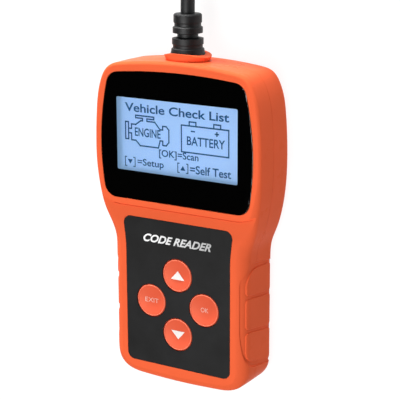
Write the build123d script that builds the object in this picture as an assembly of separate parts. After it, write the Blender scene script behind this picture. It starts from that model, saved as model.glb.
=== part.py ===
"""OBD code reader: a hand-held reader with a display, four keys and a cord with a 16-way plug.

Millimetres. The reader lies on its back: +Z comes out of its face, +Y runs towards the cord and
+X is to the right of the display. The origin is the middle of the housing's footprint, at z = 0.
"""
from build123d import *
import os
from math import cos, pi, radians, sin, sqrt, tan

os.makedirs("parts", exist_ok=True)

# ---------------------------------------------------------------- driving dimensions
HEAD_FACE_Z = 22.3          # front of the display bezel
KEYPAD_STEP = 0.95          # the keypad face lies this much lower
KEYPAD_FACE_Z = HEAD_FACE_Z - KEYPAD_STEP
SEAM_Z = 13.25              # parting plane, also the height of the cord's axis
WALL = 2.2
CEILING_Z = 19.5            # inside of the front face
FLOOR_Z = 2.0               # inside of the back
REAR_ROUND = 4.0
DRAFT = 0.012               # side walls lean in, mm per mm of height
SEAM_REVEAL = (0.1, 0.06)   # width and depth of the groove where the shells meet

CREASE_Y = 5.05             # where the bezel steps down to the keypad face
TOP_Y = 57.75               # top of the outline at its middle
END_Y = 60.35               # top of the collar; the outline's foot is at -END_Y
HEAD_HALF = 34.2
HANDLE_HALF = 27.9

LENS_THICK = 1.1
MASK_THICK = 0.1
TAPE_THICK = 0.1
LENS_FLOOR_Z = HEAD_FACE_Z - LENS_THICK - MASK_THICK - TAPE_THICK
WINDOW = (49.6, 26.3)       # clear part of the lens
WINDOW_Y = 30.7
WINDOW_CLEAR = 4.0          # the hole in the shell is this much larger, so that its walls stay unseen
OVERLAY_THICK = 0.3
OVERLAY_FLOOR_Z = KEYPAD_FACE_Z - OVERLAY_THICK

KEY_RADIUS = 6.0
KEY_GAP = 0.25
KEY_FLANGE_RADIUS = 6.9
KEY_TRAVEL = 0.8
KEY_PAD_Y = -30.0           # centre of the four keys
KEY_SPREAD = 11.13
KEYS = {
    "up": (0, KEY_PAD_Y + KEY_SPREAD),
    "down": (0, KEY_PAD_Y - KEY_SPREAD),
    "exit": (-KEY_SPREAD, KEY_PAD_Y),
    "ok": (KEY_SPREAD, KEY_PAD_Y),
}

BOARD_THICK = 1.6
BOARD_TOP_Z = 13.6
BOARD_BACK_Z = BOARD_TOP_Z - BOARD_THICK
MAT_THICK = 0.8
DOME_RISE = 1.5
STEM_RADIUS = 3.4

SCREW_PLACES = [(x, y) for x in (-20.5, 20.5) for y in (-50.5, 50.6)]
BOARD_SCREW_PLACES = [(-25.0, 8.5), (25.0, 8.5)]

CORD_DIAMETER = 5.0
CORD_Z = CORD_DIAMETER / 2 + 0.05      # height of a cord that lies on the table
RELIEF_END_Y = 73.65
COIL_Y = 153.2
COIL_OUTER = 31.5                      # centreline radius of the outermost turn
COIL_TURN_GAP = 5.1
PLUG_X = 10.0
PLUG_Z = 12.5
PLUG_CORD_Y = 219.5                    # where the cord goes into the plug's relief

nodes = {}


# ---------------------------------------------------------------- helpers
def block(x0, x1, y0, y1, z0, z1):
    centre = Location(((x0 + x1) / 2, (y0 + y1) / 2, (z0 + z1) / 2))
    return centre * Box(x1 - x0, y1 - y0, z1 - z0)


def disc(x, y, radius, z0, z1):
    return Location((x, y, (z0 + z1) / 2)) * Cylinder(radius, z1 - z0)


def slab(face, z0, z1):
    """A flat outline drawn at z = 0, made solid from z0 to z1."""
    return extrude(Location((0, 0, z0)) * face, z1 - z0)


def plate(width, depth, radius, y=0.0, x=0.0):
    return Location((x, y, 0)) * RectangleRounded(width, depth, radius)


def turned(profile, x=0.0, z=SEAM_Z):
    """A solid of revolution about the line through (x, z) along Y, from (radius, y) points."""
    face = make_face(Polyline(*[(r, y) for r, y in profile], close=True))
    return Location((x, 0, z)) * revolve(face, axis=Axis.Y)


def window_plate(extra):
    return plate(WINDOW[0] + extra, WINDOW[1] + extra, 1.0, WINDOW_Y)


def group(solids):
    return Compound(children=[solid for shape in solids for solid in shape.solids()])


def ease(value, start, end):
    """0 at start, 1 at end, smooth between."""
    t = min(max((value - start) / (end - start), 0.0), 1.0)
    return t * t * (3 - 2 * t)


# ---------------------------------------------------------------- housing outline
def half_outline():
    lean = (0.42, -0.9)
    shoulder = Spline((24.4, 56.05), (28.6, 54.3), (31.3, 50.15), tangents=[(1, -0.14), lean])
    flank = Spline(
        (31.3, 50.15), (33.5, 40.0), (HEAD_HALF, 26.9), (33.1, 9.2), (30.4, -1.3), (HANDLE_HALF, -12.0),
        tangents=[lean, (0, -1)],
    )
    handle = Line((HANDLE_HALF, -12.0), (HANDLE_HALF, -49.9))
    corner = Spline((HANDLE_HALF, -49.9), (25.2, -56.8), (18.6, -59.7), tangents=[(0, -1), (-1, -0.12)])
    return [curve.edge() for curve in (shoulder, flank, handle, corner)]


def housing_outline():
    crown = ThreePointArc((-24.4, 56.05), (0, TOP_Y), (24.4, 56.05)).edge()
    foot = ThreePointArc((18.6, -59.7), (0, -END_Y), (-18.6, -59.7)).edge()
    right = half_outline()
    left = [edge.mirror(Plane.YZ) for edge in right]
    return Wire([crown, *right, foot, *left])


OUTLINE = housing_outline()
OUTLINE_STATIONS = 64


ROUND_STEPS = 12
ROUND_ANGLES = [i * pi / 2 / ROUND_STEPS for i in range(ROUND_STEPS + 1)]
CREST_OVER = 0.03           # the rounds end this much above the flat faces that cut them
BLANK_TOP_Z = HEAD_FACE_Z + 1.0
SEAM_TOP_Z = SEAM_Z + SEAM_REVEAL[0] / 2
SEAM_LOW_Z = SEAM_Z - SEAM_REVEAL[0] / 2


def ring(place):
    """The outline as a closed curve; place(y) gives how far it has moved in there, and its height."""
    points = []
    for i in range(OUTLINE_STATIONS):
        spot = OUTLINE.position_at(i / OUTLINE_STATIONS)
        along = OUTLINE.tangent_at(i / OUTLINE_STATIONS)
        outward = Vector(along.Y, -along.X)
        if outward.dot(Vector(spot.X, spot.Y)) < 0:
            outward = -outward
        inset, z = place(spot.Y)
        moved = spot - outward * inset
        points.append(Vector(moved.X, moved.Y, z))
    return Wire([Edge.make_spline(points, periodic=True)])


def level(z, inset=0.0):
    return ring(lambda y: (inset, z))


def front_edge(y):
    """Radius and top of the front round: crisp beside the display, a soft 4 mm beside the keys."""
    radius = 1.3 + 1.6 * ease(y, 25, 0) + 1.3 * ease(y, 6, -8) - 1.0 * ease(y, -50, -59)
    return radius, HEAD_FACE_Z + CREST_OVER - KEYPAD_STEP * ease(y, 7, -7)


def front_round(angle):
    def place(y):
        radius, crest = front_edge(y)
        z = crest - radius * (1 - sin(angle))
        return DRAFT * (z - SEAM_Z) + radius * (1 - cos(angle)), z
    return ring(place)


def front_blank_top():
    """Closes the blank above the flat faces, sloping on inwards from the rounds."""
    def place(y):
        radius, crest = front_edge(y)
        return DRAFT * (crest - SEAM_Z) + radius + 1.5 * (BLANK_TOP_Z - crest), BLANK_TOP_Z
    return ring(place)


def front_skin():
    rings = [level(SEAM_TOP_Z)] + [front_round(angle) for angle in ROUND_ANGLES] + [front_blank_top()]
    return Solid.make_loft(rings, ruled=True)


def rear_skin():
    rings = [level(SEAM_LOW_Z)]
    for angle in ROUND_ANGLES:
        z = REAR_ROUND * (1 - sin(angle))
        rings.append(level(z, DRAFT * (SEAM_Z - z) + REAR_ROUND * (1 - cos(angle))))
    return Solid.make_loft(rings, ruled=True)


def core(extra, z0, z1):
    """A straight prism of the outline, moved inwards by extra."""
    return extrude(Face(level(z0, extra)), z1 - z0, dir=(0, 0, 1))


# ---------------------------------------------------------------- side grips
GROOVE_DEPTH = 0.6          # floor of the groove below the widest part of the handle
GROOVE_FLARE = 0.5          # its ends slope in over this distance
PAD_DEPTH = 0.18            # tops of the pads below the widest part of the handle
PAD_ROUND = 0.3
PAD_BACK_Z, PAD_FRONT_Z = 2.4, 19.2
# ends of each pad along Y at its back and at its front, and the radii of its front corners
PADS = [
    {"back": (-24.6, -14.3), "front": (-22.5, -13.0), "corners": (1.3, 6.0)},
    {"back": (-37.6, -25.9), "front": (-34.9, -23.7), "corners": (1.3, 1.5)},
    {"back": (-50.6, -38.9), "front": (-46.9, -36.1), "corners": (4.0, 1.5)},
]


def groove_edge(x, grow=0.0):
    """The groove's D-shaped outline at one x: square at the back, swept over the front round."""
    high_back, high = (-13.4 + grow, 1.0), (-11.9 + grow, 13.5)
    low_back, low = (-52.1 - grow, 1.0), (-50.0 - grow, 13.5)
    sweep_in = Spline(high, (-12.9 + grow, 18.4), (-16.0, 20.4), (-22.5, 20.95), tangents=[(0.1, 1), (-1, 0)])
    sweep_out = Spline((-35.0, 20.95), (-42.2, 20.6), (-46.9, 19.4), low, tangents=[(-1, 0), (-0.15, -1)])
    edges = [
        Line(high_back, high).edge(),
        sweep_in.edge(),
        Line((-22.5, 20.95), (-35.0, 20.95)).edge(),
        sweep_out.edge(),
        Line(low, low_back).edge(),
        Line(low_back, high_back).edge(),
    ]
    return Plane(origin=(x, 0, 0), x_dir=(0, 1, 0), z_dir=(1, 0, 0)) * make_face(edges)


def handle_block(depth):
    """The plain inside shape of the handle, this far below its widest part."""
    half, front = HANDLE_HALF - depth, KEYPAD_FACE_Z - 0.1
    solid = block(-half, half, -70, 10, 0.05, front)
    return fillet(solid.edges().filter_by(Axis.Y), REAR_ROUND)


def grip_pad(pad):
    low_radius, high_radius = pad["corners"]
    corners = [
        ((pad["back"][0], PAD_BACK_Z), 1.3),
        ((pad["front"][0], PAD_FRONT_Z), low_radius),
        ((pad["front"][1], PAD_FRONT_Z), high_radius),
        ((pad["back"][1], PAD_BACK_Z), 1.3),
    ]
    outline = make_face(Polyline(*[place for place, radius in corners], close=True))
    for (y, z), radius in corners:
        nearest = outline.vertices().sort_by_distance(Vector(y, z, 0))[0]
        outline = fillet(nearest, radius)
    prism = extrude(Plane.YZ * outline, HEAD_HALF, dir=(1, 0, 0))
    solid = (prism & handle_block(PAD_DEPTH)).solid()
    top_edges = [edge for edge in solid.edges() if edge.bounding_box().min.X > HANDLE_HALF - 3.0]
    return fillet([edge for edge in top_edges if is_rim(edge, solid)], PAD_ROUND)


def is_rim(edge, solid):
    """True where the pad's top meets its side wall."""
    faces = [face for face in solid.faces() if any(edge.is_same(other) for other in face.edges())]
    walls = [face for face in faces if abs(face.normal_at(edge @ 0.5).X) < 0.01]
    return len(walls) == 1 and len(faces) == 2


def grip_cutter():
    """What is taken off both sides of the handle: a groove round three pads."""
    floor_x, rim_x = HANDLE_HALF - GROOVE_DEPTH, HANDLE_HALF + 0.2
    reach = loft([groove_edge(floor_x), groove_edge(rim_x, GROOVE_FLARE)], ruled=True)
    reach += extrude(groove_edge(floor_x), HANDLE_HALF / 2, dir=(-1, 0, 0))
    right = reach - handle_block(GROOVE_DEPTH)
    for pad in PADS:
        right -= grip_pad(pad)
    return right + right.mirror(Plane.YZ)


# ---------------------------------------------------------------- collar round the cord
COLLAR_HALF = (9.4, 7.1)    # half width and half depth of the lip
COLLAR_NECK = (7.5, 6.2)


def collar():
    def ellipse(y, half):
        return Plane(origin=(0, y, SEAM_Z), x_dir=(1, 0, 0), z_dir=(0, 1, 0)) * Ellipse(*half)

    flare = loft([ellipse(53.0, COLLAR_NECK), ellipse(56.8, (7.9, 6.4)), ellipse(END_Y, COLLAR_HALF)])
    arch_drop = 1.5
    arch_radius = (COLLAR_HALF[0] ** 2 + arch_drop ** 2) / (2 * arch_drop)
    return flare & disc(0, END_Y - arch_radius, arch_radius, 0, 30)


RELIEF_PROFILE = [
    (0, 53.3), (6.0, 53.3), (6.0, 55.3), (4.6, 55.3), (4.6, 57.4), (6.1, 57.4),
    (6.1, 59.4), (5.7, 61.6), (5.2, 61.9), (5.2, 62.9), (5.5, 63.2), (5.5, 65.2),
    (3.65, 65.6), (3.65, 66.7), (5.25, 67.1), (5.25, 69.0), (4.65, 69.4), (4.65, 70.4),
    (4.95, 70.7), (4.95, 73.2), (4.6, RELIEF_END_Y), (0, RELIEF_END_Y),
]


def relief_bore():
    return turned([(0, 53.0), (4.65, 53.0), (4.65, 57.4), (6.2, 57.4), (6.2, 62.0), (0, 62.0)])


# ---------------------------------------------------------------- lens and overlay outlines
def lens_outline(grow=0.0):
    shoulder = (27.55 + grow, 52.35 + grow)
    foot = (29.25 + grow, 7.25 - grow)
    widest = (31.2 + grow, 26.6)
    top = ThreePointArc(shoulder, (0, 54.05 + grow), (-shoulder[0], shoulder[1]))
    left = ThreePointArc((-shoulder[0], shoulder[1]), (-widest[0], widest[1]), (-foot[0], foot[1]))
    bottom = Line((-foot[0], foot[1]), foot)
    right = ThreePointArc(foot, widest, shoulder)
    face = make_face([top.edge(), left.edge(), bottom.edge(), right.edge()])
    return fillet(face.vertices(), 5.0 + grow)


def overlay_outline(grow=0.0):
    top_y, foot_y, half, flare = 0.65 + grow, -54.05 - grow, 21.75 + grow, 22.9 + grow
    right = Spline((flare, top_y), (22.35 + grow, -4.5), (half, -12.0), tangents=[(-0.05, -1), (0, -1)])
    edges = [
        Line((-flare, top_y), (flare, top_y)).edge(),
        right.edge(),
        Line((half, -12.0), (half, foot_y)).edge(),
        Line((half, foot_y), (-half, foot_y)).edge(),
        Line((-half, foot_y), (-half, -12.0)).edge(),
        right.edge().mirror(Plane.YZ),
    ]
    face = make_face(edges)
    corners = [v for v in face.vertices() if abs(v.Y - top_y) < 0.1 or abs(v.Y - foot_y) < 0.1]
    return fillet(corners, 2.8 + grow)


SEAT_GAP = 0.12             # round the lens and the overlay in their seats


def key_holes(z0, z1):
    return [disc(x, y, KEY_RADIUS + KEY_GAP, z0, z1) for x, y in KEYS.values()]


# ---------------------------------------------------------------- shells
CREASE_RISE = [(26.5, 5.2), (29.1, 5.95), (31.1, 6.7), (45, 11.5)]
CREASE = [(-x, y) for x, y in reversed(CREASE_RISE)] + [(-24, CREASE_Y), (24, CREASE_Y)] + CREASE_RISE
CREASE_GROOVE = (0.6, 0.3)  # width and depth
SCREW_HEAD = (2.5, 1.7)     # radius and height
SCREW_SHANK_RADIUS = 1.2
SCREW_SEAT_Z = 3.4
BOSS_RADIUS = 3.0
PILLAR_RADIUS = 4.0


def crease_groove():
    """A fine groove at the foot of the step between the bezel and the keypad face."""
    inner = [(x, y) for x, y in CREASE if abs(x) < 31.5]
    lower = [(x * 0.99, y - CREASE_GROOVE[0]) for x, y in reversed(inner)]
    strip = make_face(Polyline(*inner, *lower, close=True))
    return slab(strip, KEYPAD_FACE_Z - CREASE_GROOVE[1], KEYPAD_FACE_Z + 0.1)


def front_shell():
    shell = front_skin() + core(SEAM_REVEAL[1], SEAM_Z, SEAM_TOP_Z)
    shell -= block(-50, 50, -70, 70, HEAD_FACE_Z, BLANK_TOP_Z + 1)
    keypad_side = Polyline(*CREASE, (45, -70), (-45, -70), close=True)
    shell -= slab(make_face(keypad_side), KEYPAD_FACE_Z, BLANK_TOP_Z + 1)
    shell -= crease_groove()
    shell += collar() & block(-20, 20, 52, 62, SEAM_Z, 30)
    shell -= core(WALL, SEAM_Z, CEILING_Z)
    for x, y in SCREW_PLACES + BOARD_SCREW_PLACES:
        shell += disc(x, y, BOSS_RADIUS, BOARD_TOP_Z, CEILING_Z)
        shell -= disc(x, y, SCREW_SHANK_RADIUS + 0.05, BOARD_TOP_Z, CEILING_Z - 0.8)
    shell -= slab(lens_outline(SEAT_GAP), LENS_FLOOR_Z, HEAD_FACE_Z + 1)
    shell -= slab(window_plate(WINDOW_CLEAR), CEILING_Z - 1, HEAD_FACE_Z)
    shell -= slab(overlay_outline(SEAT_GAP), OVERLAY_FLOOR_Z, KEYPAD_FACE_Z + 1)
    for hole in key_holes(CEILING_Z - 1, KEYPAD_FACE_Z + 1):
        shell -= hole
    shell -= GRIPS
    shell -= relief_bore()
    return shell


LABEL_SIZE = (38.0, 52.0)
LABEL_Y = -2.0
LABEL_RECESS = 0.3


def rear_shell():
    shell = rear_skin() + core(SEAM_REVEAL[1], SEAM_LOW_Z, SEAM_Z)
    shell += collar() & block(-20, 20, 52, 62, 0, SEAM_Z)
    shell -= core(WALL, FLOOR_Z, SEAM_Z)
    for x, y in SCREW_PLACES:
        shell += disc(x, y, PILLAR_RADIUS, FLOOR_Z - 0.5, BOARD_BACK_Z) & core(1.0, 0, SEAM_Z)
        shell -= disc(x, y, SCREW_HEAD[0] + 0.5, -1, SCREW_SEAT_Z)
        shell -= disc(x, y, SCREW_SHANK_RADIUS + 0.2, SCREW_SEAT_Z - 1, SEAM_Z)
    shell -= slab(plate(LABEL_SIZE[0] + 0.6, LABEL_SIZE[1] + 0.6, 2.3, LABEL_Y), -1, LABEL_RECESS)
    shell -= GRIPS
    shell -= relief_bore()
    return shell


GRIPS = grip_cutter()
nodes["front_shell"] = front_shell()
nodes["rear_shell"] = rear_shell()
nodes["rear_label"] = slab(plate(*LABEL_SIZE, 2.0, LABEL_Y), LABEL_RECESS - 0.2, LABEL_RECESS)


def screw(x, y, seat_z, tip_z, head, shank_radius):
    """A pan-head screw driven from behind, with a cross recess."""
    radius, height = head
    body = disc(x, y, radius, seat_z - height, seat_z)
    rim = body.edges().sort_by(Axis.Z)[0]
    body = fillet(rim, height * 0.45)
    for turn in (0, 90):
        slot = Location((x, y, seat_z - height), (0, 0, turn)) * Box(radius * 1.1, 0.6, 1.6)
        body -= slot
    return body + disc(x, y, shank_radius, seat_z, tip_z)


nodes["housing_screws"] = group(
    [screw(x, y, SCREW_SEAT_Z, CEILING_Z - 1.2, SCREW_HEAD, SCREW_SHANK_RADIUS) for x, y in SCREW_PLACES]
)
nodes["board_screws"] = group(
    [screw(x, y, BOARD_BACK_Z, CEILING_Z - 1.2, (2.1, 1.4), SCREW_SHANK_RADIUS) for x, y in BOARD_SCREW_PLACES]
)

# ---------------------------------------------------------------- display window
lens_z = HEAD_FACE_Z - LENS_THICK
mask_z = lens_z - MASK_THICK
window_hole = slab(plate(*WINDOW, 0.6, WINDOW_Y), LENS_FLOOR_Z - 1, HEAD_FACE_Z)
lens_body = slab(lens_outline(), lens_z, HEAD_FACE_Z)
nodes["display_lens"] = fillet(lens_body.edges().group_by(Axis.Z)[-1], 0.25)
nodes["lens_mask"] = slab(lens_outline(), mask_z, lens_z) - window_hole
tape_hole = slab(window_plate(WINDOW_CLEAR + 0.4), LENS_FLOOR_Z - 1, HEAD_FACE_Z)
nodes["lens_tape"] = slab(plate(56.6, 42.0, 4.0, WINDOW_Y), LENS_FLOOR_Z, mask_z) - tape_hole

# ---------------------------------------------------------------- display module
LCD_FRAME = (57.0, 33.4)
LCD_FRAME_WALL = 0.5
LCD_GASKET = 0.5
frame_top_z = CEILING_Z - LCD_GASKET
glass_top_z = frame_top_z - 0.3
glass_z = glass_top_z - 1.8
viewing_hole = slab(window_plate(WINDOW_CLEAR - 0.6), BOARD_TOP_Z, CEILING_Z + 1)
gasket = slab(plate(*LCD_FRAME, 0.8, WINDOW_Y), frame_top_z, CEILING_Z)
nodes["lcd_gasket"] = gasket - slab(window_plate(WINDOW_CLEAR), frame_top_z - 1, CEILING_Z + 1)
lcd_inner = (LCD_FRAME[0] - 2 * LCD_FRAME_WALL, LCD_FRAME[1] - 2 * LCD_FRAME_WALL)
lcd_frame = slab(plate(*LCD_FRAME, 0.8, WINDOW_Y), BOARD_TOP_Z, frame_top_z)
lcd_frame -= slab(plate(*lcd_inner, 0.4, WINDOW_Y), BOARD_TOP_Z, glass_top_z)
nodes["lcd_frame"] = lcd_frame - viewing_hole
nodes["lcd_glass"] = slab(plate(lcd_inner[0] - 0.2, lcd_inner[1] - 0.2, 0.3, WINDOW_Y), glass_z, glass_top_z)
pin_row_y = WINDOW_Y - lcd_inner[1] / 2 + 1.2
light_low_y = pin_row_y + 1.2
light_high_y = WINDOW_Y + lcd_inner[1] / 2 - 0.2
half_light = lcd_inner[0] / 2 - 0.2
nodes["lcd_backlight"] = block(-half_light, half_light, light_low_y, light_high_y, BOARD_TOP_Z + 0.4, glass_z)
nodes["lcd_pins"] = group([disc(2.0 * i - 19.0, pin_row_y, 0.3, BOARD_TOP_Z, glass_z) for i in range(20)])

# ---------------------------------------------------------------- keypad
overlay = slab(overlay_outline(), OVERLAY_FLOOR_Z, KEYPAD_FACE_Z)
for hole in key_holes(OVERLAY_FLOOR_Z - 1, KEYPAD_FACE_Z + 1):
    overlay -= hole
nodes["keypad_overlay"] = overlay

MAT_TOP_Z = BOARD_TOP_Z + MAT_THICK
STEM_TOP_Z = 17.4
STEM_BOTTOM_Z = 15.0
PILL = (2.2, 0.4)
CONTACT = (2.6, 0.1)
DISH_RADIUS = 5.2
DISH_DEPTH = 0.5


def key_cap(x, y):
    dish_ball = (DISH_RADIUS ** 2 + DISH_DEPTH ** 2) / (2 * DISH_DEPTH)
    cap = disc(x, y, KEY_RADIUS, STEM_TOP_Z, KEYPAD_FACE_Z)
    cap = fillet(cap.edges().sort_by(Axis.Z)[-1], 0.3)
    cap += disc(x, y, KEY_FLANGE_RADIUS, STEM_TOP_Z, STEM_TOP_Z + 0.9)
    return cap - Location((x, y, KEYPAD_FACE_Z - DISH_DEPTH + dish_ball)) * Sphere(dish_ball)


def dome_skirt(x, y):
    """The thin sloping wall that joins a key's stem to the mat and folds when the key is pressed."""
    top_z = MAT_TOP_Z + DOME_RISE
    outer = Location((x, y, (MAT_TOP_Z + top_z) / 2)) * Cone(5.6, 4.2, DOME_RISE)
    inner = Location((x, y, (MAT_TOP_Z + top_z) / 2)) * Cone(4.9, STEM_RADIUS + 0.05, DOME_RISE)
    return outer - inner


keypad_mat = slab(plate(37.0, 37.0, 3.0, KEY_PAD_Y), BOARD_TOP_Z, MAT_TOP_Z)
for name, (x, y) in KEYS.items():
    nodes[f"key_cap_{name}"] = key_cap(x, y)
    nodes[f"key_stem_{name}"] = disc(x, y, STEM_RADIUS, STEM_BOTTOM_Z, STEM_TOP_Z)
    nodes[f"key_pill_{name}"] = disc(x, y, PILL[0], STEM_BOTTOM_Z - PILL[1], STEM_BOTTOM_Z)
    nodes[f"dome_skirt_{name}"] = dome_skirt(x, y)
    keypad_mat -= disc(x, y, 4.9, BOARD_TOP_Z - 1, MAT_TOP_Z + 1)
nodes["keypad_mat"] = keypad_mat
nodes["key_contacts"] = group(
    [disc(x, y, CONTACT[0], BOARD_TOP_Z, BOARD_TOP_Z + CONTACT[1]) for x, y in KEYS.values()]
)

# ---------------------------------------------------------------- circuit board
board = core(WALL + 1.0, BOARD_BACK_Z, BOARD_TOP_Z)
board -= block(-9, 9, 46.5, 60, 0, 30)
for x, y in SCREW_PLACES + BOARD_SCREW_PLACES:
    board -= disc(x, y, 1.5, 0, 30)
nodes["main_board"] = board


def chip(x, y, width, depth, height, pins, pitch, four_sided=False):
    """A chip on the back of the board, with its legs in one solid."""
    body = block(
        x - width / 2, x + width / 2, y - depth / 2, y + depth / 2, BOARD_BACK_Z - height, BOARD_BACK_Z - 0.1
    )
    leg, reach, tuck = pitch * 0.4, 0.9, 0.2
    legs = []
    for i, side in [(i, side) for i in range(pins) for side in (-1, 1)]:
        at = (i - (pins - 1) / 2) * pitch
        foot = Box(leg, reach + tuck, 0.3)
        out = side * (reach - tuck) / 2
        z = BOARD_BACK_Z - 0.15
        legs.append(Location((x + at, y + side * depth / 2 + out, z)) * foot)
        if four_sided:
            legs.append(Location((x + side * width / 2 + out, y + at, z), (0, 0, 90)) * foot)
    return body.fuse(*legs)


def parts_on_back(places, width, depth, height):
    return group(
        [
            block(x - width / 2, x + width / 2, y - depth / 2, y + depth / 2, BOARD_BACK_Z - height, BOARD_BACK_Z)
            for x, y in places
        ]
    )


nodes["processor_chip"] = chip(3.0, 12.0, 10.0, 10.0, 1.5, 12, 0.8, four_sided=True)
nodes["memory_chip"] = chip(-14.0, 12.0, 5.0, 4.0, 1.6, 4, 1.27)
nodes["bus_transceiver"] = chip(-9.0, 29.0, 5.0, 4.0, 1.6, 4, 1.27)
nodes["voltage_regulator"] = chip(12.0, 30.0, 6.5, 3.6, 1.7, 3, 2.3)
nodes["crystal"] = fillet(
    block(-3.5, 7.5, -3.8, 0.8, BOARD_BACK_Z - 3.4, BOARD_BACK_Z).edges().filter_by(Axis.Z), 2.2
)
nodes["power_inductor"] = fillet(
    block(17.0, 24.0, 15.0, 22.0, BOARD_BACK_Z - 3.8, BOARD_BACK_Z).edges().filter_by(Axis.Z), 1.6
)
nodes["electrolytic_capacitors"] = group(
    [disc(22.5, y, 3.15, BOARD_BACK_Z - 5.6, BOARD_BACK_Z) for y in (28.5, 36.5)]
)
nodes["protection_diodes"] = parts_on_back([(-18.0, 41.0), (-18.0, 36.0)], 4.4, 3.6, 2.2)
cap_places = [(-6.0 + 3.0 * i, 20.5) for i in range(6)] + [(-12.0, 22.0), (-16.0, 26.0), (14.0, 38.0)]
nodes["ceramic_capacitors"] = parts_on_back(cap_places, 0.9, 1.7, 0.9)
resistor_places = [(-12.0 + 2.4 * i, -8.0) for i in range(8)] + [(-20.0, 18.0 + 2.4 * i) for i in range(4)]
nodes["chip_resistors"] = parts_on_back(resistor_places, 0.9, 1.7, 0.5)

# ---------------------------------------------------------------- cord inside the housing
HEADER_Y = (38.5, 43.5)
CONNECTOR_Y = (43.5, 49.0)
nodes["cable_header"] = block(-8.0, 8.0, *HEADER_Y, 7.0, BOARD_BACK_Z)
nodes["cable_connector"] = block(-7.0, 7.0, *CONNECTOR_Y, 7.6, 11.4)
wire_length = RELIEF_PROFILE[0][1] - CONNECTOR_Y[1]
wires = []
for i in range(6):
    centre = Location((-4.0 + 1.6 * i, CONNECTOR_Y[1] + wire_length / 2, 9.6), (90, 0, 0))
    wires.append(centre * Cylinder(0.65, wire_length))
nodes["cable_wires"] = group(wires)
nodes["strain_relief"] = turned(RELIEF_PROFILE)

# ---------------------------------------------------------------- cord outside the housing
LEAD_ROUTE = [
    (0, RELIEF_END_Y, SEAM_Z),
    (0, 86.5, SEAM_Z),
    (1.2, 98.4, 9.6),
    (4.2, 110.4, 4.9),
    (11.1, 121.4, CORD_Z + 0.05),
    (20.25, 129.1, CORD_Z),
]
TAIL_ROUTE = [
    (31.5, COIL_Y, 7.6),
    (30.6, 166.5, 8.6),
    (24.6, 181.0, 9.9),
    (15.5, 193.5, 11.6),
    (PLUG_X, 207.0, PLUG_Z),
    (PLUG_X, PLUG_CORD_Y, PLUG_Z),
]


def corner_radii(route):
    """Each arc is as large as its two runs allow."""
    radii = []
    for before, here, after in zip(route, route[1:], route[2:]):
        arriving = Vector(*here) - Vector(*before)
        leaving = Vector(*after) - Vector(*here)
        half_turn = radians(arriving.get_angle(leaving) / 2)
        radii.append(0.45 * min(arriving.length, leaving.length) / tan(half_turn))
    return radii


def cord_tube(name, route):
    radii = corner_radii(route)
    path = FilletPolyline(*route, radius=radii)
    start = Plane(origin=route[0], z_dir=path % 0)
    tube = sweep(start * Circle(CORD_DIAMETER / 2), path=path)
    expected = pi * CORD_DIAMETER ** 2 / 4 * path.length
    print(name, "radii", [round(r, 1) for r in radii], "length", round(path.length, 1))
    print(name, "volume / expected", round(tube.volume / expected, 4))
    return tube


def coil():
    """The put-away turns: two side by side on the table and one in the groove above them."""
    half = CORD_DIAMETER / 2
    inner = COIL_OUTER - COIL_TURN_GAP - half
    outer = COIL_OUTER + half
    shoulder_z, top_z = CORD_Z + half, 9.9
    section = Polyline(
        (inner, CORD_Z - half), (outer, CORD_Z - half), (outer, shoulder_z), (outer - 2.2, top_z),
        (inner + 2.2, top_z), (inner, shoulder_z), close=True,
    )
    return Location((0, COIL_Y, 0)) * revolve(Plane.XZ * make_face(section), axis=Axis.Z)


nodes["cable"] = cord_tube("cable", LEAD_ROUTE)
nodes["cable_coil"] = coil()
nodes["cable_tail"] = cord_tube("cable_tail", TAIL_ROUTE)

# ---------------------------------------------------------------- plug
PLUG_RELIEF = 12.0
PLUG_GRIP = 22.0
PLUG_SHROUD = 17.0
PLUG_GRIP_SIZE = (46.0, 25.0)
SHROUD_TOP, SHROUD_BOTTOM, SHROUD_HEIGHT = 41.0, 36.0, 19.0
SHROUD_WALL = 1.6
grip_y = PLUG_CORD_Y + PLUG_RELIEF
shroud_y = grip_y + PLUG_GRIP
plug_end_y = shroud_y + PLUG_SHROUD


def plug_plane(y):
    return Plane(origin=(PLUG_X, y, PLUG_Z), x_dir=(-1, 0, 0), z_dir=(0, 1, 0))


def plug_grip():
    narrow = plug_plane(grip_y) * RectangleRounded(26.0, 18.0, 6.0)
    middle = plug_plane(grip_y + 9.0) * RectangleRounded(42.0, 23.0, 6.0)
    wide = plug_plane(shroud_y) * RectangleRounded(*PLUG_GRIP_SIZE, 6.0)
    return loft([narrow, middle, wide])


def shroud_face(inset):
    half_top, half_bottom = SHROUD_TOP / 2 - inset, SHROUD_BOTTOM / 2 - inset
    half_height = SHROUD_HEIGHT / 2 - inset
    outline = Polyline(
        (-half_top, half_height), (half_top, half_height), (half_bottom, -half_height),
        (-half_bottom, -half_height), close=True,
    )
    return fillet(make_face(outline).vertices(), max(3.0 - inset, 1.0))


grip_solid = plug_grip()
grip_solid -= Location((PLUG_X, grip_y - 1 + 3.5, PLUG_Z), (90, 0, 0)) * Cylinder(3.2, 7.0)
screw_x = (PLUG_X - 15.0, PLUG_X + 15.0)
plug_screw_y = grip_y + 15.0
for x in screw_x:
    grip_solid -= disc(x, plug_screw_y, 2.3, -1, 3.0)
    grip_solid -= disc(x, plug_screw_y, 1.05, 0, PLUG_Z + 6)
nodes["plug_upper_half"] = grip_solid & block(-40, 60, 200, 300, PLUG_Z, 40)
nodes["plug_lower_half"] = grip_solid & block(-40, 60, 200, 300, -5, PLUG_Z)
nodes["plug_screws"] = group([screw(x, plug_screw_y, 3.0, PLUG_Z + 5, (2.0, 1.4), 1.0) for x in screw_x])
shroud = extrude(plug_plane(shroud_y) * shroud_face(0), PLUG_SHROUD)
nodes["plug_shroud"] = shroud - extrude(plug_plane(shroud_y + 3.0) * shroud_face(SHROUD_WALL), PLUG_SHROUD)
PIN_PITCH, ROW_GAP = 4.0, 8.4
pins = []
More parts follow.
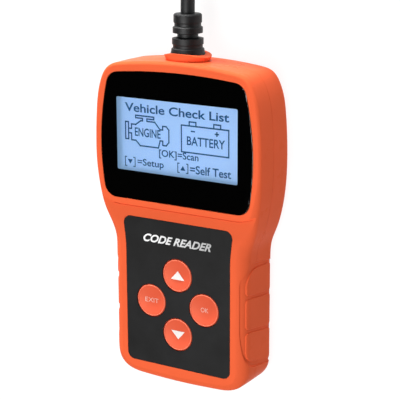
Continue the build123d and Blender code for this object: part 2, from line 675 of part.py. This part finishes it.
for row in (-1, 1):
    for i in range(8):
        x = PLUG_X + (i - 3.5) * PIN_PITCH
        z = PLUG_Z + row * ROW_GAP / 2
        pins.append(block(x - 0.8, x + 0.8, shroud_y + 3.0, plug_end_y - 4.5, z - 0.4, z + 0.4))
nodes["plug_pins"] = group(pins)
relief_y = PLUG_CORD_Y
nodes["plug_relief"] = turned(
    [
        (0, relief_y), (3.7, relief_y), (3.9, relief_y + 2.4), (3.2, relief_y + 2.7), (3.2, relief_y + 3.7),
        (4.2, relief_y + 4.0), (4.4, relief_y + 6.4), (3.5, relief_y + 6.7), (3.5, relief_y + 7.7),
        (4.7, relief_y + 8.0), (5.0, grip_y), (3.2, grip_y), (3.2, grip_y + 5.5), (0, grip_y + 5.5),
    ],
    PLUG_X, PLUG_Z,
)

for name, shape in nodes.items():
    export_step(shape, f"parts/{name}.step")
print(len(nodes), "nodes")
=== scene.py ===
"""Looks of the code reader: materials, printing, display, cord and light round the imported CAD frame."""
import math

import bpy
from mathutils import Euler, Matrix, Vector


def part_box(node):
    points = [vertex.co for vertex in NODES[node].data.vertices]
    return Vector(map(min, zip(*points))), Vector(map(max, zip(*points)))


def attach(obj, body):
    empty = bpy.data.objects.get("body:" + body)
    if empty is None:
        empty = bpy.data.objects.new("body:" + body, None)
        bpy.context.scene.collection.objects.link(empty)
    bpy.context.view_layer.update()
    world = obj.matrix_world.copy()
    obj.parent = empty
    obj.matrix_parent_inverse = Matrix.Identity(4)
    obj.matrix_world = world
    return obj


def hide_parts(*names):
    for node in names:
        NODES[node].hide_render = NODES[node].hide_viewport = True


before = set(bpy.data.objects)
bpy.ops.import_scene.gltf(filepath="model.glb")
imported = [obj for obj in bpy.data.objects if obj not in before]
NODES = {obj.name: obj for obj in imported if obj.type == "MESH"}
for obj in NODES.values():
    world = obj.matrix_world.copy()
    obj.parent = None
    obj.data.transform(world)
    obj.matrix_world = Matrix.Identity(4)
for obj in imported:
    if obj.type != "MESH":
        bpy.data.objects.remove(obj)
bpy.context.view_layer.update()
BODY = "housing"
KEYS = ("up", "down", "exit", "ok")
MM = 0.001


# ---------------------------------------------------------------- small helpers
def link(name, data):
    piece = bpy.data.objects.new(name, data)
    bpy.context.scene.collection.objects.link(piece)
    return piece


def dress(piece, material, body=BODY):
    piece.data.materials.clear()
    piece.data.materials.append(material)
    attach(piece, body)
    return piece


def paint(material, *names):
    """Gives CAD nodes their material."""
    for name in names:
        slots = NODES[name].data.materials
        slots.clear()
        slots.append(material)


def key_names(prefix):
    return [f"{prefix}_{key}" for key in KEYS]


def set_range(node, from_low, from_high, low, high):
    """Fills in a Map Range node: from_low..from_high becomes low..high."""
    numbers = {"From Min": from_low, "From Max": from_high, "To Min": low, "To Max": high}
    for socket, number in numbers.items():
        node.inputs[socket].default_value = number


# ---------------------------------------------------------------- camera
LENS_MM, SENSOR_MM = 120.3, 36.0
CAMERA_PLACE = (0.24523, 0.12740, 0.40399)
CAMERA_TURN = (-14.7206, 31.5625, -0.2333)


def make_camera():
    data = bpy.data.cameras.new("camera")
    data.lens = LENS_MM
    data.sensor_width = SENSOR_MM
    camera = link("camera", data)
    camera.location = CAMERA_PLACE
    camera.rotation_euler = Euler([math.radians(angle) for angle in CAMERA_TURN])
    bpy.context.scene.camera = camera


# ---------------------------------------------------------------- material kit
class Shader:
    """A Principled material with a few node helpers, in object coordinates (metres)."""

    def __init__(self, name, colour, roughness, **sockets):
        self.material = bpy.data.materials.new(name)
        self.material.use_nodes = True
        self.tree = self.material.node_tree
        self.bsdf = self.tree.nodes["Principled BSDF"]
        self.bsdf.inputs["Base Color"].default_value = (*colour, 1)
        self.bsdf.inputs["Roughness"].default_value = roughness
        for socket, value in sockets.items():
            self.bsdf.inputs[socket.replace("_", " ")].default_value = value
        self.colour, self.roughness = colour, roughness
        self.place = self.node("ShaderNodeTexCoord").outputs["Object"]

    def node(self, kind, **settings):
        made = self.tree.nodes.new(kind)
        for key, value in settings.items():
            setattr(made, key, value)
        return made

    def join(self, source, target):
        self.tree.links.new(source, target)

    def noise(self, scale, detail=3.0):
        made = self.node("ShaderNodeTexNoise")
        made.inputs["Scale"].default_value = scale
        made.inputs["Detail"].default_value = detail
        made.inputs["Roughness"].default_value = 0.6
        self.join(self.place, made.inputs["Vector"])
        return made.outputs["Fac"]

    def spread(self, value, low, high, from_low=0.3, from_high=0.7):
        made = self.node("ShaderNodeMapRange")
        set_range(made, from_low, from_high, low, high)
        self.join(value, made.inputs["Value"])
        return made.outputs["Result"]

    def bump(self, height, distance):
        made = self.node("ShaderNodeBump")
        made.inputs["Distance"].default_value = distance
        made.inputs["Strength"].default_value = 1.0
        self.join(height, made.inputs["Height"])
        normal = self.bsdf.inputs["Normal"]
        if normal.is_linked:
            self.join(normal.links[0].from_socket, made.inputs["Normal"])
        self.join(made.outputs["Normal"], normal)

    def vary_roughness(self, scale, amount):
        value = self.spread(self.noise(scale), self.roughness - amount, self.roughness + amount)
        self.join(value, self.bsdf.inputs["Roughness"])

    def blend(self, share, first, second, target):
        """Drives a colour socket from first to second as share goes from 0 to 1."""
        mix = self.node("ShaderNodeMix", data_type="RGBA")
        mix.inputs["A"].default_value = (*first, 1)
        mix.inputs["B"].default_value = (*second, 1)
        self.join(share, mix.inputs["Factor"])
        self.join(mix.outputs["Result"], self.bsdf.inputs[target])

    def vary_colour(self, scale, other):
        self.blend(self.spread(self.noise(scale), 0.0, 1.0), self.colour, other, "Base Color")

    def axes(self):
        split = self.node("ShaderNodeSeparateXYZ")
        self.join(self.place, split.inputs[0])
        return split.outputs

    def product(self, first, second):
        made = self.node("ShaderNodeMath", operation="MULTIPLY")
        self.join(first, made.inputs[0])
        self.join(second, made.inputs[1])
        return made.outputs[0]


def scaled(colour, share):
    return tuple(channel * share for channel in colour)


def moulded(name, colour, roughness, grain=2600.0, depth=0.00002, **sockets):
    """Injection-moulded plastic: a fine spark-eroded grain and a slow change of gloss."""
    shader = Shader(name, colour, roughness, **sockets)
    shader.vary_roughness(90.0, 0.05)
    shader.vary_colour(40.0, scaled(colour, 0.93))
    shader.bump(shader.noise(grain, 2.0), depth)
    return shader.material


def metal(name, colour, roughness, scale=1800.0):
    shader = Shader(name, colour, roughness, Metallic=1.0)
    shader.vary_roughness(scale, 0.08)
    shader.vary_colour(400.0, scaled(colour, 0.8))
    shader.bump(shader.noise(scale * 2), 0.000006)
    return shader.material


# ---------------------------------------------------------------- materials
ORANGE = (0.87, 0.132, 0.047)
KEY_ORANGE = (0.82, 0.118, 0.055)
# Lighter orange for the raised key rims: a painted highlight, not the keys' own colour.
KEY_RIM_PAINTED_HIGHLIGHT = (0.9, 0.2, 0.115)
WARM_GLOSS = (1.0, 0.4, 0.25, 1.0)
BLACK = (0.018, 0.018, 0.019)
INK_WHITE, INK_GREY = (0.95, 0.95, 0.95), (0.45, 0.45, 0.45)


def lens_material():
    shader = Shader("lens_clear", (0.97, 0.98, 1.0), 0.03, Transmission_Weight=1.0, IOR=1.46)
    shader.vary_roughness(60.0, 0.012)
    return shader.material


def mask_material():
    shader = Shader("lens_black", (0.011, 0.011, 0.0115), 0.25)
    shader.vary_roughness(50.0, 0.05)
    return shader.material


def overlay_material():
    """Printed polyester: matte black with a fine emboss."""
    shader = Shader("overlay_film", (0.010, 0.0098, 0.0098), 0.5, Specular_IOR_Level=0.12)
    shader.vary_roughness(150.0, 0.05)
    shader.vary_colour(70.0, (0.016, 0.016, 0.0165))
    shader.bump(shader.noise(3800.0, 2.0), 0.000018)
    return shader.material


DOT_PITCH = 0.39 * MM
DISPLAY_DARK, DISPLAY_LIGHT = (0.02, 0.05, 0.15), (0.335, 0.585, 0.863)
DISPLAY_INK = (0.012, 0.1, 0.3)


def display_material():
    """Back-lit liquid crystal: even blue-white light, a little brighter in the middle, faint dots."""
    low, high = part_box("lens_mask")
    shader = Shader("display_glass", (0.22, 0.34, 0.62), 0.35, Emission_Strength=0.6)
    axes = shader.axes()
    lines = []
    for axis in ("X", "Y"):
        wrap = shader.node("ShaderNodeMath", operation="PINGPONG")
        wrap.inputs[1].default_value = DOT_PITCH / 2
        shader.join(axes[axis], wrap.inputs[0])
        lines.append(shader.spread(wrap.outputs[0], 0.9, 1.0, 0.0, DOT_PITCH * 0.12))
    away = shader.node("ShaderNodeVectorMath", operation="DISTANCE")
    away.inputs[1].default_value = (low + high) / 2
    shader.join(shader.place, away.inputs[0])
    glow = shader.spread(away.outputs["Value"], 1.0, 0.86, 0.0, 32 * MM)
    light = shader.product(shader.product(*lines), glow)
    shader.blend(light, DISPLAY_DARK, DISPLAY_LIGHT, "Emission Color")
    return shader.material


def ink_material(name, colour, roughness=0.5, **sockets):
    """Screen-printed ink, with the slight unevenness of its coat."""
    shader = Shader(name, colour, roughness, **sockets)
    shader.vary_colour(900.0, scaled(colour, 0.9))
    shader.bump(shader.noise(6000.0), 0.000004)
    return shader.material


def title_material():
    """White ink that fades to grey along the overlay's title."""
    shader = Shader("title_ink", INK_WHITE, 0.5)
    along = shader.spread(shader.axes()["X"], 0.0, 1.0, -12 * MM, 13 * MM)
    shader.blend(along, INK_WHITE, INK_GREY, "Base Color")
    shader.bump(shader.noise(6000.0), 0.000004)
    return shader.material


def cord_material(name="cord_rubber", colour=(0.01, 0.01, 0.0105)):
    shader = Shader(name, colour, 0.5, Specular_IOR_Level=0.3)
    shader.vary_roughness(120.0, 0.07)
    shader.vary_colour(60.0, scaled(colour, 1.5))
    shader.bump(shader.noise(2400.0), 0.00002)
    shader.bump(shader.noise(160.0, 1.0), 0.00006)
    return shader.material


def board_material():
    shader = Shader("board_green", (0.014, 0.12, 0.045), 0.35)
    shader.vary_colour(500.0, (0.03, 0.2, 0.08))
    shader.bump(shader.noise(1400.0), 0.00002)
    return shader.material


def key_plastic(name, colour):
    return moulded(name, colour, 0.36, Specular_IOR_Level=0.3, Specular_Tint=WARM_GLOSS)


def paint_nodes():
    housing = moulded("housing_plastic", ORANGE, 0.3, Specular_IOR_Level=0.01, Specular_Tint=WARM_GLOSS)
    paint(housing, "front_shell", "rear_shell")
    paint(key_plastic("key_plastic", KEY_ORANGE), *key_names("key_cap"))
    paint(lens_material(), "display_lens")
    paint(mask_material(), "lens_mask")
    paint(overlay_material(), "keypad_overlay")
    paint(display_material(), "lcd_glass")
    paint(moulded("tape", (0.03, 0.03, 0.03), 0.7), "lens_tape", "lcd_gasket")
    rubber = moulded("key_rubber", (0.3, 0.31, 0.32), 0.55)
    paint(rubber, *key_names("key_stem"), *key_names("dome_skirt"), "keypad_mat")
    paint(moulded("carbon_pill", (0.015, 0.015, 0.015), 0.8), *key_names("key_pill"))
    paint(metal("gold_contact", (0.83, 0.6, 0.24), 0.3), "key_contacts")
    paint(board_material(), "main_board")
    chips = ("processor_chip", "memory_chip", "bus_transceiver", "voltage_regulator")
    paint(moulded("chip_black", (0.02, 0.02, 0.021), 0.6), *chips, "protection_diodes", "power_inductor")
    paint(metal("can_metal", (0.7, 0.7, 0.71), 0.3), "crystal", "electrolytic_capacitors")
    paint(moulded("ceramic", (0.38, 0.28, 0.18), 0.5), "ceramic_capacitors", "chip_resistors")
    paint(moulded("connector_white", (0.75, 0.74, 0.7), 0.5), "cable_header", "cable_connector")
    paint(moulded("wire_cover", (0.4, 0.03, 0.02), 0.4), "cable_wires")
    paint(metal("display_frame", (0.45, 0.45, 0.46), 0.35), "lcd_frame")
    paint(moulded("light_guide", (0.85, 0.9, 0.95), 0.4), "lcd_backlight")
    paint(metal("pin_metal", (0.74, 0.6, 0.33), 0.28), "lcd_pins", "plug_pins")
    paint(metal("screw_steel", (0.28, 0.28, 0.29), 0.36), "housing_screws", "board_screws", "plug_screws")
    paint(moulded("label_paper", (0.62, 0.62, 0.62), 0.5, 5000.0, 0.000008), "rear_label")
    paint(moulded("plug_plastic", BLACK, 0.45), "plug_upper_half", "plug_lower_half", "plug_shroud")
    paint(cord_material("relief_rubber", (0.007, 0.007, 0.0074)), "strain_relief", "plug_relief")


# ---------------------------------------------------------------- cord
CORD_RADIUS = 2.5 * MM
# The rest of the cord's route is in millimetres.
TABLE_Z = 2.55
COIL_Y = 153.2
COIL_OUTER, COIL_INNER = 31.5, 26.4
COIL_UPPER_Z = 7.6
COIL_START = -50.0
COIL_SWEEP = 3 * 360 + 50
COIL_STEP = 20.0
LEAD_ROUTE = [
    (0, 73.65, 13.25),
    (0, 86.5, 13.25),
    (1.2, 98.4, 9.6),
    (4.2, 110.4, 4.9),
    (11.1, 121.4, 2.6),
]
TAIL_ROUTE = [
    (30.6, 166.5, 8.6),
    (24.6, 181.0, 9.9),
    (15.5, 193.5, 11.6),
    (10.0, 207.0, 12.5),
    (10.0, 219.5, 12.5),
]


def ease(value, start, end):
    t = min(max((value - start) / (end - start), 0.0), 1.0)
    return t * t * (3 - 2 * t)


def coil_points():
    """Two turns side by side on the table, then a third on top of them."""
    points = []
    steps = int(COIL_SWEEP / COIL_STEP)
    swell = 1 / math.cos(math.radians(COIL_STEP / 2))
    gap = COIL_OUTER - COIL_INNER
    for i in range(steps + 1):
        turned = i * COIL_SWEEP / steps
        radius = COIL_OUTER - gap * ease(turned, 280, 370) + gap * ease(turned, 700, 1060)
        height = TABLE_Z + (COIL_UPPER_Z - TABLE_Z) * ease(turned, 600, 700)
        angle = math.radians(COIL_START + turned)
        x, y = radius * swell * math.cos(angle), radius * swell * math.sin(angle)
        points.append((x, COIL_Y + y, height))
    return points


def make_cord():
    route = LEAD_ROUTE + coil_points() + TAIL_ROUTE
    data = bpy.data.curves.new("cord", "CURVE")
    data.dimensions = "3D"
    data.resolution_u = 10
    data.bevel_depth = CORD_RADIUS
    data.bevel_resolution = 6
    data.use_fill_caps = True
    spline = data.splines.new("NURBS")
    spline.points.add(len(route) - 1)
    for point, (x, y, z) in zip(spline.points, route):
        point.co = (x * MM, y * MM, z * MM, 1)
    spline.order_u = 3
    spline.use_endpoint_u = True
    cord = dress(link("cord", data), cord_material())
    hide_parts("cable", "cable_coil", "cable_tail")


# ---------------------------------------------------------------- printing
INK_THICK, INK_LIFT = 0.012 * MM, 0.02 * MM


def text_mesh(name, words, width, height, slant=0.0, weight=0.0):
    """Lettering as a thin solid, centred on the origin, at an exact width and cap height."""
    data = bpy.data.curves.new(name, "FONT")
    data.body = words
    data.shear = slant
    data.offset = weight
    data.resolution_u = 4
    data.extrude = 0.01
    letters = link(name + "_outline", data)
    bpy.context.view_layer.update()
    mesh = bpy.data.meshes.new_from_object(letters.evaluated_get(bpy.context.evaluated_depsgraph_get()))
    bpy.data.objects.remove(letters)
    low = Vector([min(v.co[i] for v in mesh.vertices) for i in range(3)])
    high = Vector([max(v.co[i] for v in mesh.vertices) for i in range(3)])
    middle, size = (low + high) / 2, high - low
    for vertex in mesh.vertices:
        away = vertex.co - middle
        x, y = away.x * width / size.x, away.y * height / size.y
        vertex.co = Vector((x, y, away.z / size.z * INK_THICK))
    return link(name, mesh)


def flat_mesh(name, quads):
    """Flat four-cornered patches as one thin solid each."""
    points, faces = [], []
    for quad in quads:
        first = len(points)
        points += [(x, y, z) for z in (-INK_THICK / 2, INK_THICK / 2) for x, y in quad]
        n = len(quad)
        upper = first + n
        faces.append([first + i for i in reversed(range(n))])
        faces.append([upper + i for i in range(n)])
        faces += [[first + i, first + (i + 1) % n, upper + (i + 1) % n, upper + i] for i in range(n)]
    mesh = bpy.data.meshes.new(name)
    mesh.from_pydata(points, [], faces)
    return link(name, mesh)


def shift(piece, x, y, z):
    for vertex in piece.data.vertices:
        vertex.co += Vector((x, y, z))
    return piece


def stroke(points, width, closed=False):
    """Quads along a line of points, square at the joints like display segments."""
    ring = points + points[:1] if closed else points
    quads = []
    for (ax, ay), (bx, by) in zip(ring, ring[1:]):
        along = Vector((bx - ax, by - ay)).normalized() * width / 2
        across = Vector((-along.y, along.x))
        a, b = Vector((ax, ay)) - along, Vector((bx, by)) + along
        quads.append([tuple(a - across), tuple(b - across), tuple(b + across), tuple(a + across)])
    return quads


def arrow(width, height, up=True):
    sign = 1 if up else -1
    corners = [(-width / 2, -sign * height / 2), (width / 2, -sign * height / 2), (0, sign * height / 2)]
    return corners if up else corners[::-1]


def ring_of(points, x, y, scale_x, scale_y):
    return [(x + px * scale_x, y + py * scale_y) for px, py in points]


# ---------------------------------------------------------------- display picture
WINDOW_WIDTH, WINDOW_HEIGHT = 49.6 * MM, 26.3 * MM
WINDOW_Y = 30.7 * MM
PICTURE_SHIFT = (-0.9 * MM, -0.6 * MM)
ENGINE = [
    (0.07, 0.55), (0.14, 0.55), (0.14, 0.70), (0.24, 0.70), (0.36, 0.84), (0.40, 0.84), (0.40, 0.92),
    (0.24, 0.92), (0.24, 1.00), (0.66, 1.00), (0.66, 0.92), (0.50, 0.92), (0.50, 0.84), (0.68, 0.84),
    (0.80, 0.62), (0.86, 0.62), (0.86, 0.74), (0.94, 0.74), (1.00, 0.64), (1.00, 0.24), (0.94, 0.12),
    (0.86, 0.12), (0.86, 0.26), (0.80, 0.26), (0.76, 0.02), (0.34, 0.02), (0.24, 0.18), (0.14, 0.18),
    (0.14, 0.40), (0.07, 0.40),
]
ENGINE_FAN = [(0.00, 0.20), (0.07, 0.20), (0.07, 0.76), (0.00, 0.76)]
ICON_LINE, SIGN_REACH = 0.5 * MM, 0.6 * MM
BRACKET_LINE, BRACKET_REACH, BRACKET_HOOK, BRACKET_RISE = 0.36 * MM, 2.1 * MM, 0.6 * MM, 1.65 * MM


def display_picture(material):
    low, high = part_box("lens_mask")
    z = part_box("lcd_glass")[1].z + INK_LIFT
    left = (low.x + high.x) / 2 - WINDOW_WIDTH / 2 + PICTURE_SHIFT[0]
    top = WINDOW_Y + WINDOW_HEIGHT / 2 + PICTURE_SHIFT[1]

    def at(u, v):
        return left + u * WINDOW_WIDTH, top - v * WINDOW_HEIGHT

    def words(name, text, u, v, width, height, weight=0.016):
        x, y = at(u, v)
        piece = text_mesh(name, text, width * WINDOW_WIDTH, height * WINDOW_HEIGHT, weight=weight)
        dress(shift(piece, x, y, z), material)

    words("display_title", "Vehicle Check List", 0.49, 0.125, 0.865, 0.12, 0.018)
    words("display_engine_word", "ENGINE", 0.25, 0.455, 0.22, 0.12)
    words("display_battery_word", "BATTERY", 0.735, 0.49, 0.31, 0.12)
    words("display_scan_word", "[OK]=Scan", 0.51, 0.72, 0.33, 0.125)
    words("display_setup_word", "=Setup", 0.272, 0.88, 0.225, 0.125)
    words("display_test_word", "=Self Test", 0.772, 0.875, 0.335, 0.115)
    x, y = at(0.06, 0.65)
    size = (0.37 * WINDOW_WIDTH, 0.42 * WINDOW_HEIGHT)
    quads = stroke(ring_of(ENGINE, x, y, *size), ICON_LINE)
    quads += stroke(ring_of(ENGINE_FAN, x, y, *size), ICON_LINE, closed=True)
    case = [at(0.535, 0.65), at(0.92, 0.65), at(0.92, 0.29), at(0.535, 0.29)]
    quads += stroke(case, ICON_LINE, closed=True)
    for u in (0.60, 0.80):
        far = u + 0.055
        quads += stroke([at(u, 0.285), at(u, 0.235), at(far, 0.235), at(far, 0.285)], ICON_LINE)
    for u in (0.63, 0.825):
        x, y = at(u, 0.36)
        quads += stroke([(x - SIGN_REACH, y), (x + SIGN_REACH, y)], ICON_LINE)
    x, y = at(0.825, 0.36)
    quads += stroke([(x, y - SIGN_REACH), (x, y + SIGN_REACH)], ICON_LINE)
    for u, v, up in ((0.096, 0.88, False), (0.545, 0.875, True)):
        x, y = at(u, v)
        quads.append(ring_of(arrow(2.1 * MM, 1.7 * MM, up), x, y, 1, 1))
        for side in (-1, 1):
            edge, hook = x + side * BRACKET_REACH, x + side * (BRACKET_REACH - BRACKET_HOOK)
            low_y, high_y = y - BRACKET_RISE, y + BRACKET_RISE
            bracket = [(hook, high_y), (edge, high_y), (edge, low_y), (hook, low_y)]
            quads += stroke(bracket, BRACKET_LINE)
    icons = flat_mesh("display_icons", quads)
    dress(shift(icons, 0, 0, z + INK_THICK), material)


# ---------------------------------------------------------------- legends
DISH_RADIUS, DISH_DEPTH = 5.2 * MM, 0.5 * MM
ARROW_WIDTH, ARROW_HEIGHT, DOWN_ARROW_DROP = 5.7 * MM, 3.2 * MM, 0.3 * MM
WORD_HEIGHT = 1.7 * MM
KEY_BEAD_RADIUS, KEY_BEAD_THICK, KEY_BEAD_SINK = 5.66 * MM, 0.17 * MM, 0.06 * MM
KEY_BEAD_AROUND, KEY_BEAD_ACROSS = 96, 12
TITLE_WIDTH, TITLE_HEIGHT, TITLE_DROP = 28.5 * MM, 3.0 * MM, 7.1 * MM


def on_dish(piece, centre, top_z):
    """Lays a flat legend on the key's shallow dish."""
    for vertex in piece.data.vertices:
        away = Vector((vertex.co.x, vertex.co.y)).length
        fall = DISH_DEPTH * (1 - min(away / DISH_RADIUS, 1.0) ** 2)
        vertex.co += Vector((centre.x, centre.y, top_z - fall + INK_LIFT))
    return piece


def key_legends(arrow_ink, word_ink):
    for key in KEYS:
        low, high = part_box(f"key_cap_{key}")
        centre = (low + high) / 2
        if key in ("up", "down"):
            mark = flat_mesh(f"legend_{key}", [arrow(ARROW_WIDTH, ARROW_HEIGHT, key == "up")])
            centre.y -= DOWN_ARROW_DROP * (key == "down")
            ink = arrow_ink
        else:
            width = (1.3 * len(key) + 0.5) * MM
            mark = text_mesh(f"legend_{key}", key.upper(), width, WORD_HEIGHT, weight=-0.004)
            ink = word_ink
        dress(on_dish(mark, centre, high.z), ink, f"key_{key}")


def key_beads(material):
    """The fine raised rim moulded round each key, coloured a lighter orange than the key as a painted
    highlight along the rim.
    """
    around, across = KEY_BEAD_AROUND, KEY_BEAD_ACROSS
    for key in KEYS:
        low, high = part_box(f"key_cap_{key}")
        centre = (low + high) / 2
        points, faces = [], []
        for i in range(around):
            turn = 2 * math.pi * i / around
            ring, following = i * across, (i + 1) % around * across
            for j in range(across):
                roll = 2 * math.pi * j / across
                reach = KEY_BEAD_RADIUS + KEY_BEAD_THICK * math.cos(roll)
                height = high.z - KEY_BEAD_SINK + KEY_BEAD_THICK * math.sin(roll)
                x, y = centre.x + reach * math.cos(turn), centre.y + reach * math.sin(turn)
                points.append((x, y, height))
                after = (j + 1) % across
                faces.append((ring + j, following + j, following + after, ring + after))
        mesh = bpy.data.meshes.new(f"key_bead_{key}")
        mesh.from_pydata(points, [], faces)
        mesh.shade_smooth()
        dress(link(f"key_bead_{key}", mesh), material, f"key_{key}")


def overlay_label(material):
    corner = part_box("keypad_overlay")[1]
    title = text_mesh("keypad_title", "CODE READER", TITLE_WIDTH, TITLE_HEIGHT, slant=0.4, weight=0.03)
    dress(shift(title, 0, corner.y - TITLE_DROP, corner.z + INK_THICK / 2), material)


# ---------------------------------------------------------------- light and stage
FLOOR_HALF = 6.0


def area_light(name, place, aim, size, power):
    data = bpy.data.lights.new(name, "AREA")
    data.shape = "RECTANGLE"
    data.size, data.size_y = size
    data.energy = power
    lamp = link(name, data)
    lamp.location = place
    lamp.rotation_euler = (Vector(aim) - Vector(place)).to_track_quat("-Z", "Y").to_euler()
    lamp.visible_camera = False


def make_floor():
    """A white table with a soft glow of its own, so that nothing on it throws a hard shadow."""
    mesh = bpy.data.meshes.new("floor")
    corners = [(x * FLOOR_HALF, y * FLOOR_HALF, 0) for x, y in ((-1, -1), (1, -1), (1, 1), (-1, 1))]
    mesh.from_pydata(corners, [], [(0, 1, 2, 3)])
    floor = link("floor", mesh)
    glow = {"Emission_Color": (1, 1, 1, 1), "Emission_Strength": 0.93}
    shader = Shader("floor_panel", (0.12, 0.12, 0.12), 0.9, **glow)
    shader.vary_colour(3.0, (0.11, 0.11, 0.11))
    mesh.materials.append(shader.material)


def make_world():
    """A studio that is pale near the floor and dark overhead, so that glossy black stays black."""
    world = bpy.data.worlds.new("studio")
    bpy.context.scene.world = world
    world.use_nodes = True
    nodes, links = world.node_tree.nodes, world.node_tree.links
    background = nodes["Background"]
    background.inputs["Color"].default_value = (1, 1, 1, 1)
    place = nodes.new("ShaderNodeTexCoord")
    split = nodes.new("ShaderNodeSeparateXYZ")
    fade = nodes.new("ShaderNodeMapRange")
    set_range(fade, 0.05, 0.5, 0.1, 0.02)
    links.new(place.outputs["Generated"], split.inputs[0])
    links.new(split.outputs["Z"], fade.inputs["Value"])
    links.new(fade.outputs["Result"], background.inputs["Strength"])


def make_stage():
    make_floor()
    make_world()
    area_light("back_light", (-0.3, 1.25, 0.12), (0, 0, 0.012), (1.0, 0.16), 34.0)
    area_light("top_light", (-0.05, -0.28, 1.35), (0, 0, 0), (0.9, 0.9), 20.8)
    bpy.context.scene.view_settings.view_transform = "Standard"
    bpy.context.scene.view_settings.look = "None"


# ---------------------------------------------------------------- build
make_camera()
make_cord()
paint_nodes()
display_picture(ink_material("display_ink", DISPLAY_INK, 0.4, Specular_IOR_Level=0.1))
key_legends(ink_material("arrow_ink", (0.95, 0.87, 0.84)), ink_material("word_ink", (0.9, 0.5, 0.42)))
# The rims get the lighter orange, which paints a highlight round each key.
key_beads(key_plastic("key_rim_painted_highlight", KEY_RIM_PAINTED_HIGHLIGHT))
overlay_label(title_material())
make_stage()
